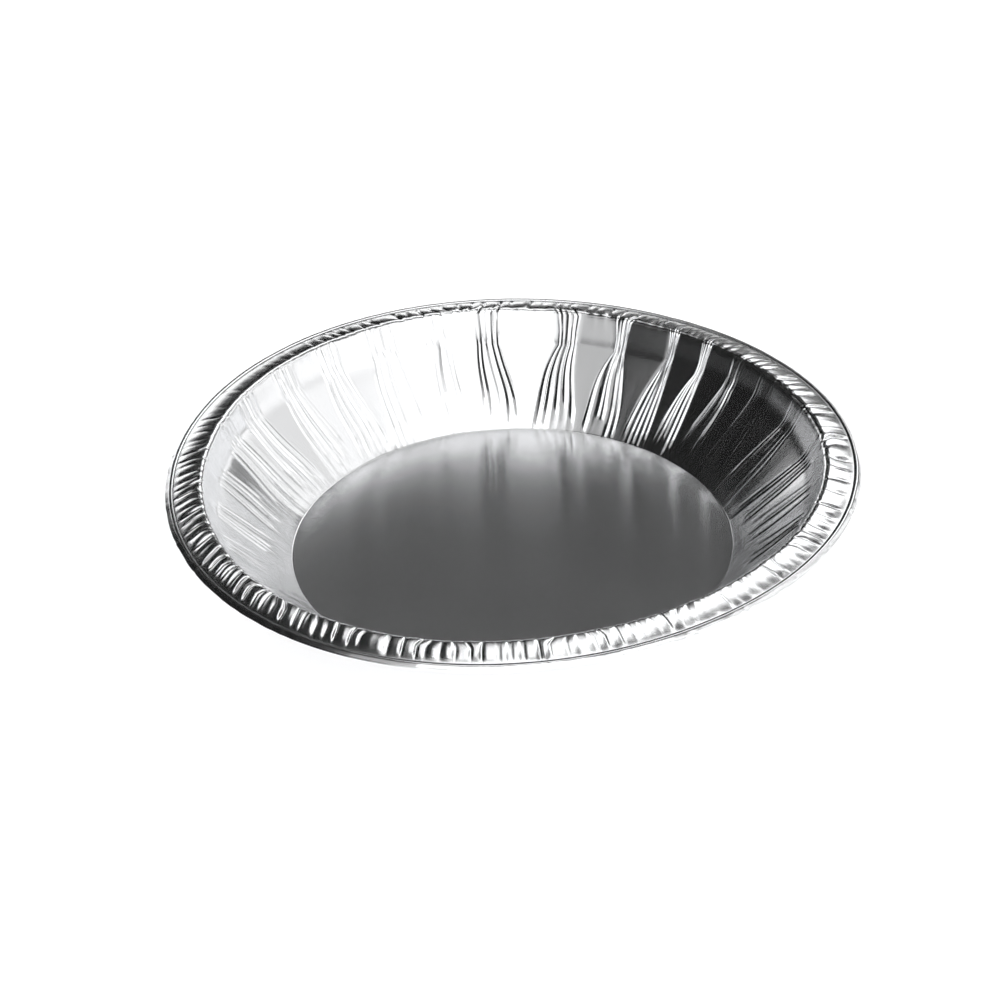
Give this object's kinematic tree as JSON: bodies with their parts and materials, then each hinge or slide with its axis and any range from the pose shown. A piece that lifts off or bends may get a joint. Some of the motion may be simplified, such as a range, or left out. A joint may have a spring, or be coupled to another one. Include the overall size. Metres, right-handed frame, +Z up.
{
  "type": "foil pie tin",
  "caption": "Shallow round tin of thin aluminium foil with gathered folds in a sloping wall, a knurled flange and a rolled edge.",
  "frame": {"origin": "under the floor, in the middle of the outline seen from above", "axes": "+Z up out of the bowl; +X to the right as the tin is seen from the front"},
  "size_m": [0.1248, 0.125, 0.018],
  "materials": {
    "foil": "bright rolled foil, with fine rolling lines and creases"
  },
  "bodies": {
    "root": {"pie_tin": "foil"}
  },
  "joints": []
}
